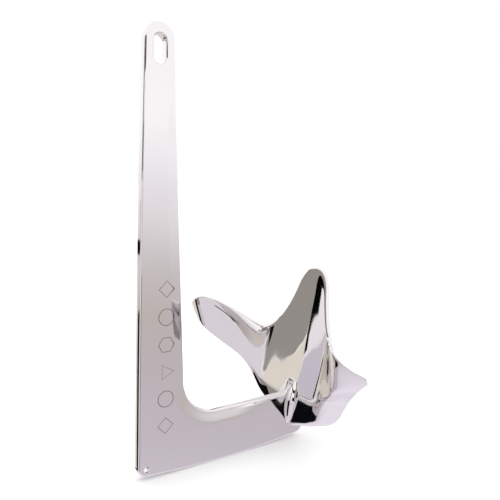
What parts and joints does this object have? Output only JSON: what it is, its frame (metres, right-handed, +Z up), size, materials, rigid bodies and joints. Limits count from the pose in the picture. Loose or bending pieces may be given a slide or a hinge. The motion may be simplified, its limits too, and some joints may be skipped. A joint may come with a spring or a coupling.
{
  "type": "claw anchor",
  "caption": "Claw boat anchor in polished stainless steel: a J-shaped shank with a slotted eye, slotted into and welded to a three-toed scoop",
  "frame": {"origin": "middle of the anchor's footprint, at the height of the lowest point of the arm's underside", "axes": "+Z runs up the shank to the eye, +X runs from the shank towards the scoop, Y is athwart; the XZ plane is the plane of symmetry"},
  "size_m": [0.2822, 0.4086, 0.55],
  "materials": {
    "polished_plate": "stainless steel plate, mirror polished",
    "polished_casting": "stainless steel casting, mirror polished, faint waviness",
    "polished_weld": "stainless fillet weld, ground back and polished"
  },
  "bodies": {
    "root": {"shank": "polished_plate", "fluke": "polished_casting", "weld_inner_left": "polished_weld", "weld_inner_right": "polished_weld", "weld_outer_left": "polished_weld", "weld_outer_right": "polished_weld"}
  },
  "joints": []
}
